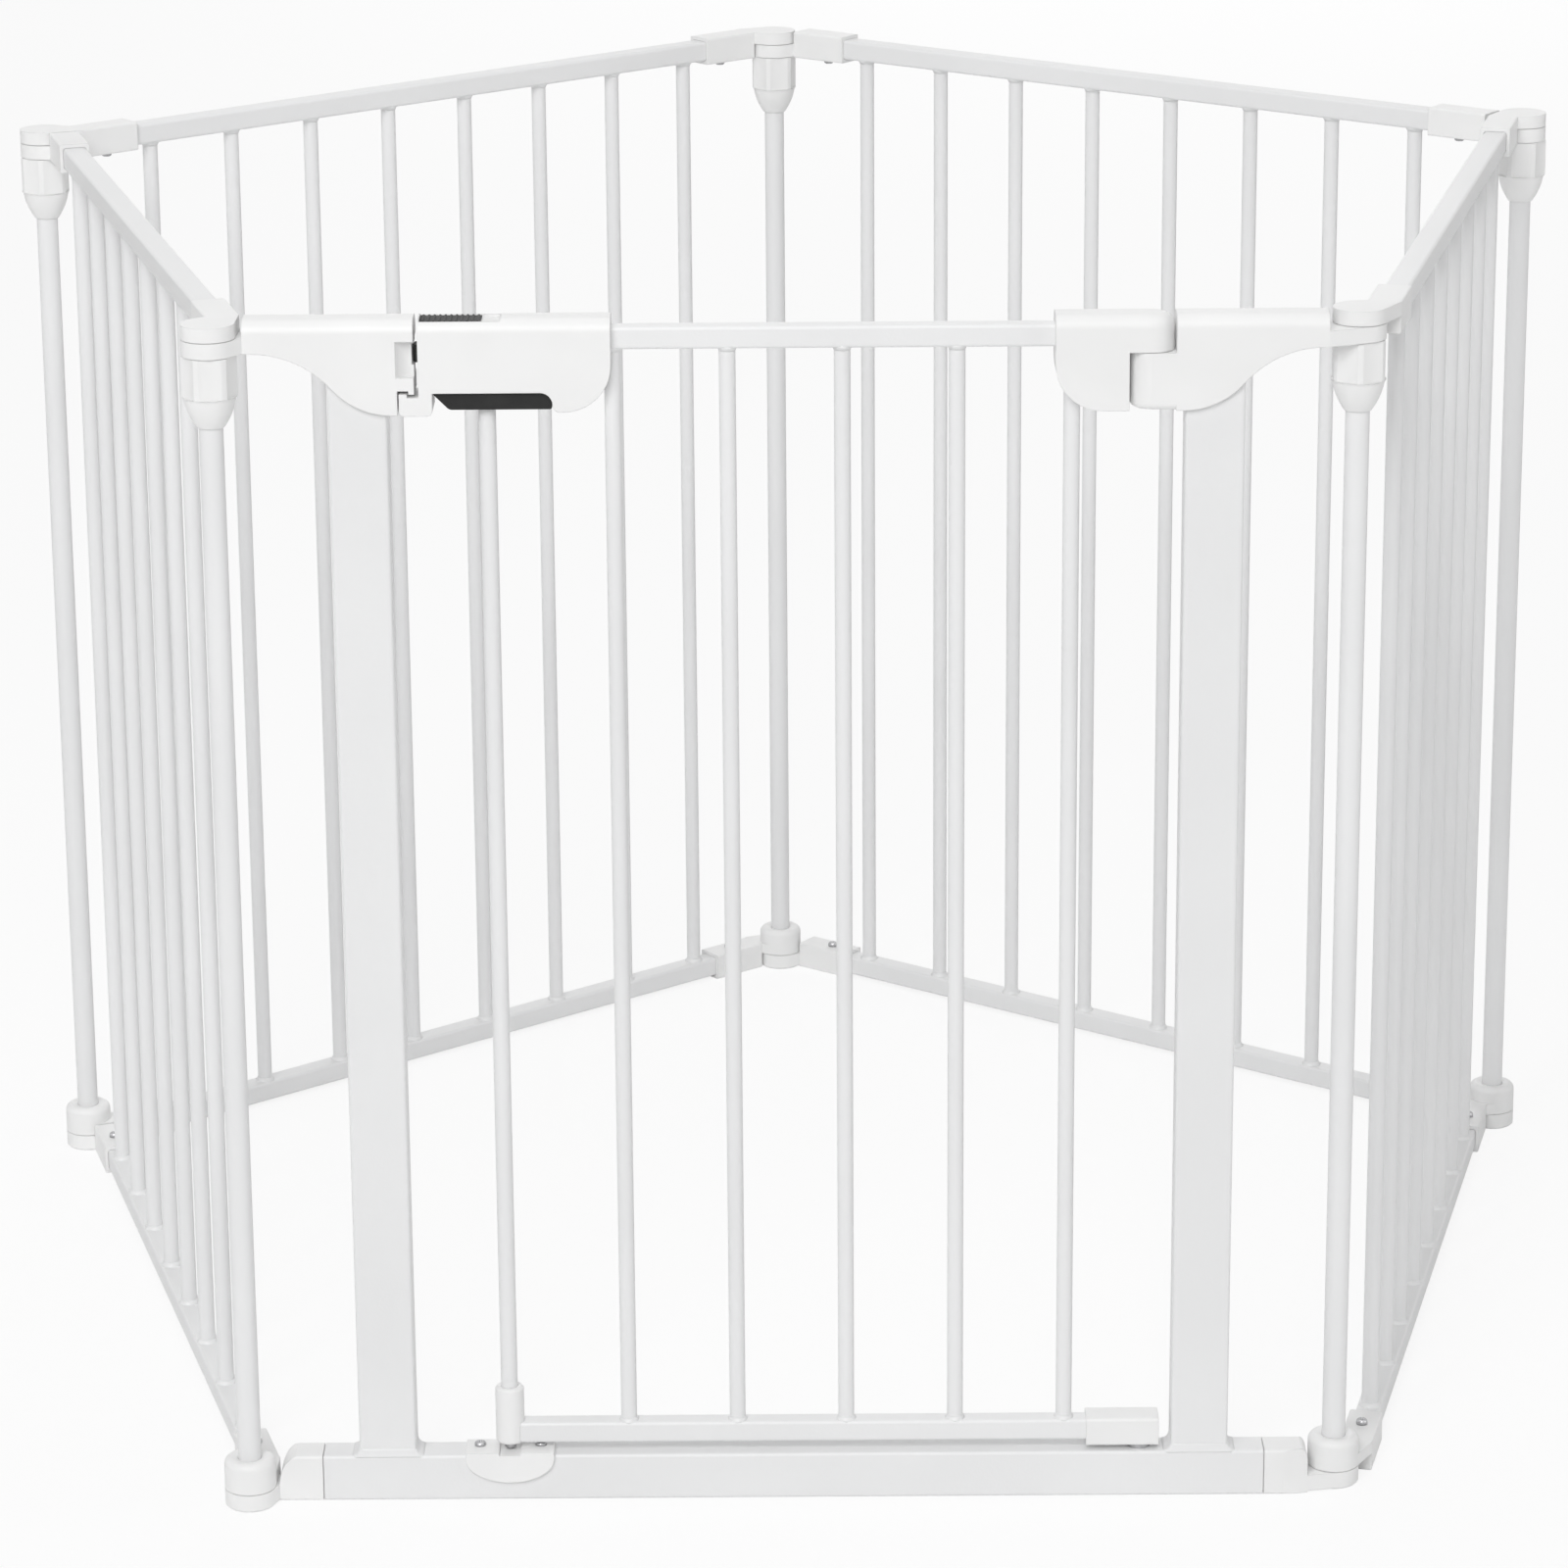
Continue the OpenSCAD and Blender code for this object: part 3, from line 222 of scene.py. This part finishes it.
# Each lamp's name, place, width in metres and power in watts.
pen_middle = Vector((0, 0, 0.3))
for name, place, size, power in (
        ("key_softbox", (-1.2, gate_y - 4.4, 4.0), 3.2, 200),
        ("top_softbox", (0.0, 0.2, 3.4), 2.6, 24),
        ("right_softbox", (3.2, gate_y - 0.6, 1.3), 2.0, 15),
        ("left_softbox", (-3.4, gate_y + 0.4, 1.3), 2.0, 9),
        ("back_softbox", (0.8, 6.2, 2.6), 3.0, 92)):
    lamp = bpy.data.lights.new(name, "AREA")
    lamp.size = size
    lamp.energy = power
    holder = bpy.data.objects.new(name, lamp)
    scene.collection.objects.link(holder)
    holder.location = place
    holder.visible_glossy = name != "back_softbox"
    holder.rotation_euler = (pen_middle - Vector(place)).to_track_quat("-Z", "Y").to_euler()


# ------------------------------------------------------------------ coated steel tube
# Rails, bars, posts, uprights, sill and latch tube: welded steel tube under one
# satin white powder coat, which levels into a faint orange peel.
white_coat = Finish("white_powder_coat", Coat_Roughness=0.3, Specular_IOR_Level=0.5)
peel = white_coat.noise(620.0, 3.0, 0.45)
speck = white_coat.noise(2600.0, 1.0)
drift = white_coat.noise(6.0, 2.0).ramp(0.3, 0.7)
white_coat.set(
    Base_Color=white_coat.blend(drift, (0.790, 0.792, 0.795), (0.825, 0.827, 0.830)),
    Roughness=0.34 + drift * 0.05 + speck * 0.06,
    Coat_Weight=0.10 + 0.10 * peel,
    Normal=white_coat.bump(peel + speck * 0.3, 0.00012, 0.6, edge=0.0006))

coated_nodes = [name for name in nodes if name.endswith(("_rail", "_bars", "_upright"))]
coated_nodes += [name for name in nodes if name.startswith("post_")] + ["latch_tube"]


def finish_node(name, finish):
    mesh = nodes[name].data
    mesh.materials.clear()
    mesh.materials.append(finish.material)


for name in coated_nodes:
    finish_node(name, white_coat)


# ------------------------------------------------------------------ weld beads
# Each bar is welded to its two rails with a small bead all round, and each upright to
# the sill. The powder coat covers the beads, and a panel's beads go with that panel.
sunk = 0.0004
touching = 1e-6


def solids_of(name):
    """The lowest and highest corners of each separate solid in a CAD node."""
    bm = bmesh.new()
    bm.from_mesh(nodes[name].data)
    bmesh.ops.remove_doubles(bm, verts=bm.verts, dist=touching)
    waiting = set(bm.verts)
    found = []
    while waiting:
        reached = [waiting.pop()]
        for v in reached:
            for edge in v.link_edges:
                w = edge.other_vert(v)
                if w in waiting:
                    waiting.remove(w)
                    reached.append(w)
        low = Vector(min(v.co[i] for v in reached) for i in range(3))
        high = Vector(max(v.co[i] for v in reached) for i in range(3))
        found.append((low, high))
    bm.free()
    return sorted(found, key=lambda solid: tuple(solid[0]))


def new_piece(name, bm, finish, body, replaced=()):
    """Turns a finished bmesh into a piece of the pen that rides on a body."""
    bmesh.ops.recalc_face_normals(bm, faces=bm.faces)
    mesh = bpy.data.meshes.new(name)
    bm.to_mesh(mesh)
    bm.free()
    mesh.materials.append(finish.material)
    piece = bpy.data.objects.new(name, mesh)
    scene.collection.objects.link(piece)
    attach(piece, body)
    if replaced:
        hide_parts(*replaced)
    return piece


def add_bead(bm, centre, radius, z, up, width, height, skirt):
    """A ring with a hollow-cheeked section round a bar, standing on z."""
    profile = [(radius - sunk, -skirt), (radius + width, -skirt), (radius + width, 0.0),
               (radius + width * 0.45, height * 0.4), (radius + width * 0.12, height),
               (radius - sunk, height)]
    verts = [bm.verts.new((centre.x + r, centre.y, z + up * h)) for r, h in profile]
    edges = [bm.edges.new((verts[i], verts[(i + 1) % len(verts)])) for i in range(len(verts))]
    bmesh.ops.spin(bm, geom=verts + edges, cent=(centre.x, centre.y, z), axis=(0, 0, 1),
                   angle=2 * math.pi, steps=20, use_merge=True)


# A bead's width, its height on the rail and its skirt into the rail.
fence_bead = (0.0018, 0.0024, 0.0009)
door_bead = (0.0013, 0.0020, 0.0012)
panels = {"left": "left_panel", "back_left": "back_left_panel", "back_right": "back_right_panel",
          "right": "right_panel", "door": "door"}
for panel, body in panels.items():
    bead = door_bead if panel == "door" else fence_bead
    bm = bmesh.new()
    for low, high in solids_of(panel + "_bars"):
        middle = (low + high) / 2
        radius = (high.x - low.x) / 2
        for z, up in ((low.z, 1), (high.z, -1)):
            add_bead(bm, middle, radius, z, up, *bead)
    for face in bm.faces:
        face.smooth = True
    new_piece(panel + "_welds", bm, white_coat, body)

# A collar round the foot of an upright: how far it stands out at the sides and at the
# front, and at what height above the sill.
collar_profile = (
    (-sunk, -sunk, -0.0012), (0.0046, 0.00045, -0.0012), (0.0046, 0.00045, 0.0),
    (0.0029, 0.00028, 0.0006), (0.0015, 0.00014, 0.0016), (0.0006, 0.00005, 0.0030),
    (0.0001, 0.00001, 0.0048), (-sunk, -sunk, 0.0048))
upright_corner = 0.0024
bm = bmesh.new()
for name in ("latch_upright", "hinge_upright"):
    low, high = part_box(name)
    half = (high - low) / 2
    corners = bmesh.ops.create_grid(bm, x_segments=1, y_segments=1, size=1.0)["verts"]
    bmesh.ops.scale(bm, verts=corners, vec=(half.x, half.y, 1))
    bmesh.ops.bevel(bm, geom=corners, offset=upright_corner, segments=6, profile=0.5,
                    affect="VERTICES", material=-1)
    foot = rim = [e for e in bm.edges if e.is_boundary]
    bmesh.ops.delete(bm, geom=[rim[0].link_faces[0]], context="FACES_ONLY")
    collar = []
    wide, deep, level = half.x, half.y, 0.0
    for side, front, z in collar_profile:
        if collar:
            made = bmesh.ops.extrude_edge_only(bm, edges=rim)["geom"]
            rim = [e for e in made if isinstance(e, bmesh.types.BMEdge) and e.is_boundary]
        ring = list({v for e in rim for v in e.verts})
        bmesh.ops.scale(bm, verts=ring, vec=((half.x + side) / wide, (half.y + front) / deep, 1))
        bmesh.ops.translate(bm, verts=ring, vec=(0, 0, z - level))
        wide, deep, level = half.x + side, half.y + front, z
        collar += ring
    bmesh.ops.bridge_loops(bm, edges=foot + rim)
    bmesh.ops.translate(bm, verts=collar, vec=((low.x + high.x) / 2, (low.y + high.y) / 2, low.z))
for face in bm.faces:
    face.smooth = True
new_piece("upright_welds", bm, white_coat, "gate_frame")


# ------------------------------------------------------------------ white mouldings
# Brackets, handle, hinge cap, shoe, knuckles, nuts and keeper are moulded in one
# white plastic with a fine spark-eroded skin. The mould rounds every edge a little.
white_plastic = Finish("white_plastic", Coat_Roughness=0.4)
grain = white_plastic.noise(1900.0, 2.0, 0.6)
flow = white_plastic.noise(14.0, 2.0).ramp(0.3, 0.7)
white_plastic.set(
    Base_Color=white_plastic.blend(flow, (0.835, 0.835, 0.832), (0.865, 0.865, 0.862)),
    Roughness=0.40 + 0.10 * grain,
    Coat_Weight=0.05 + 0.05 * flow,
    Normal=white_plastic.bump(grain, 0.00006, 0.5, edge=0.0009))

moulded = ["latch_bracket", "hinge_bracket", "sill_end_left", "sill_end_right",
           "keeper_plate", "handle_front", "handle_rear", "hinge_cap", "hinge_shoe",
           "latch_tube_foot"]
moulded += [name for name in nodes if name.endswith("_knuckles") or name.startswith("nut_")]
for name in moulded:
    finish_node(name, white_plastic)


# ------------------------------------------------------------------ black latch parts
# The slide button, the bolt under it and the lift grip are moulded in black
# plastic with a slightly coarser grain, so that a thumb doesn't slip.
black_plastic = Finish("black_plastic", Specular_IOR_Level=0.3)
grit = black_plastic.noise(1400.0, 3.0, 0.6)
rubbed = black_plastic.noise(60.0, 2.0).ramp(0.35, 0.75)
black_plastic.set(
    Base_Color=black_plastic.blend(rubbed, (0.014, 0.014, 0.014), (0.022, 0.022, 0.022)),
    Roughness=0.46 + 0.12 * grit - rubbed * 0.05,
    Normal=black_plastic.bump(grit, 0.0001, 0.7, edge=0.0006))
for name in ("slide_button", "latch_bolt", "lift_grip"):
    finish_node(name, black_plastic)


# ------------------------------------------------------------------ steel pins and springs
# The drop rod, hinge pins and both springs are bright zinc-plated steel, drawn
# lengthwise, so their scratches run along them. Each spring rides with the slide or
# the lift.
steel = Finish("bright_steel", Metallic=1.0)
drawn = steel.noise(900.0, 2.0, 0.5, stretch=(1.0, 1.0, 0.05))
steel.set(
    Base_Color=steel.blend(drawn, (0.40, 0.40, 0.41), (0.52, 0.52, 0.53)),
    Roughness=0.24 + 0.16 * drawn,
    Normal=steel.bump(drawn, 0.00003, 0.5))
for name in ("drop_rod", "upper_hinge_pin", "lower_hinge_pin"):
    finish_node(name, steel)

joints = {joint["name"]: joint for joint in frame["record"]["behaviour"]["joints"]}
for name, body, joint in (("latch_spring", "latch_slide", "latch_slide_travel"),
                          ("drop_spring", "lift", "lift_travel")):
    low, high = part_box(name)
    axis = Vector(joints[joint]["axis"])
    length = (high - low).dot(axis)
    travel = joints[joint]["range_m"][1]
    bm = bmesh.new()
    bm.from_mesh(nodes[name].data)
    bmesh.ops.remove_doubles(bm, verts=bm.verts, dist=touching)
    coil = new_piece(name + "_coil", bm, steel, body, replaced=(name,))
    1 - travel / length
    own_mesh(coil)


# ------------------------------------------------------------------ screws
# Pan-head screws with a cross recess hold the sleeves to the rails, the keeper to
# the sill, the brackets to the uprights and the handle's halves together.
head_r = 0.0035
shank_r = 0.0017
fence_head_h = 0.0031
gate_head_h = 0.0022
tip_length = 0.001
# Shares of the head's radius and of its height, from the cross recess down to the seat.
head_outline = ((0.72, 0.96), (0.88, 0.84), (0.97, 0.62), (1.0, 0.38), (1.0, 0.0))


def ring_out(bm, rim, radius, z):
    """Extrudes a rim to a circle of that radius at that height and returns the new rim."""
    made = bmesh.ops.extrude_edge_only(bm, edges=rim)["geom"]
    for v in made:
        if isinstance(v, bmesh.types.BMVert):
            across = Vector((v.co.x, v.co.y))
            across = across.normalized() * radius
            v.co = (across.x, across.y, z)
    return [e for e in made if isinstance(e, bmesh.types.BMEdge) and e.is_boundary]


def add_screw(bm, seat, way, length, head_h):
    """A screw whose head stands on seat and looks along way."""
    new = bmesh.new()
    half = head_r * 0.5
    bmesh.ops.create_grid(new, x_segments=6, y_segments=6, size=half)
    bmesh.ops.translate(new, verts=new.verts, vec=(0, 0, head_h))
    slot = half / 3 + touching
    cross = [f for f in new.faces
             if min(abs(f.calc_center_median().x), abs(f.calc_center_median().y)) < slot]
    recess = bmesh.ops.extrude_face_region(new, geom=cross)["geom"]
    recess = [v for v in recess if isinstance(v, bmesh.types.BMVert)]
    bmesh.ops.delete(new, geom=cross, context="FACES_ONLY")
    bmesh.ops.translate(new, verts=recess, vec=(0, 0, -head_h * 0.6))
    bmesh.ops.scale(new, verts=recess, vec=(0.6, 0.6, 1.0))
    rim = [e for e in new.edges if e.is_boundary]
    for radius, z in head_outline:
        rim = ring_out(new, rim, head_r * radius, head_h * z)
    rim = ring_out(new, rim, shank_r, 0.0)
    rim = ring_out(new, rim, shank_r, head_h - length + tip_length)
    rim = ring_out(new, rim, shank_r * 0.2, head_h - length)
    bmesh.ops.contextual_create(new, geom=rim)
    for face in new.faces:
        face.smooth = True
    turn = Vector((0, 0, 1)).rotation_difference(way).to_matrix().to_4x4()
    bmesh.ops.transform(new, matrix=Matrix.Translation(seat) @ turn, verts=new.verts)
    mesh = bpy.data.meshes.new("screw")
    new.to_mesh(mesh)
    new.free()
    bm.from_mesh(mesh)
    bpy.data.meshes.remove(mesh)


# Screws that lie level come in from behind. The others point up into the top fittings,
# or down into the bottom ones and the sill.
half_way_up = cad_box[1][2] / 2
for group, body in {**panels, "bracket": "gate_frame", "keeper": "gate_frame"}.items():
    head_h = fence_head_h if body.endswith("_panel") else gate_head_h
    bm = bmesh.new()
    for low, high in solids_of(group + "_screws"):
        size = high - low
        middle = (low + high) / 2
        lies_level = size.y > 1.15 * size.x
        if lies_level:
            way = Vector((0, 1, 0))
        elif middle.z > half_way_up:
            way = Vector((0, 0, -1))
        else:
            way = Vector((0, 0, 1))
        length = abs(size.dot(way))
        tip_to_head = way * (length / 2 - head_h)
        add_screw(bm, middle + tip_to_head, way, length, head_h)
    new_piece(group + "_cross_screws", bm, steel, body,
              replaced=(group + "_screws",))
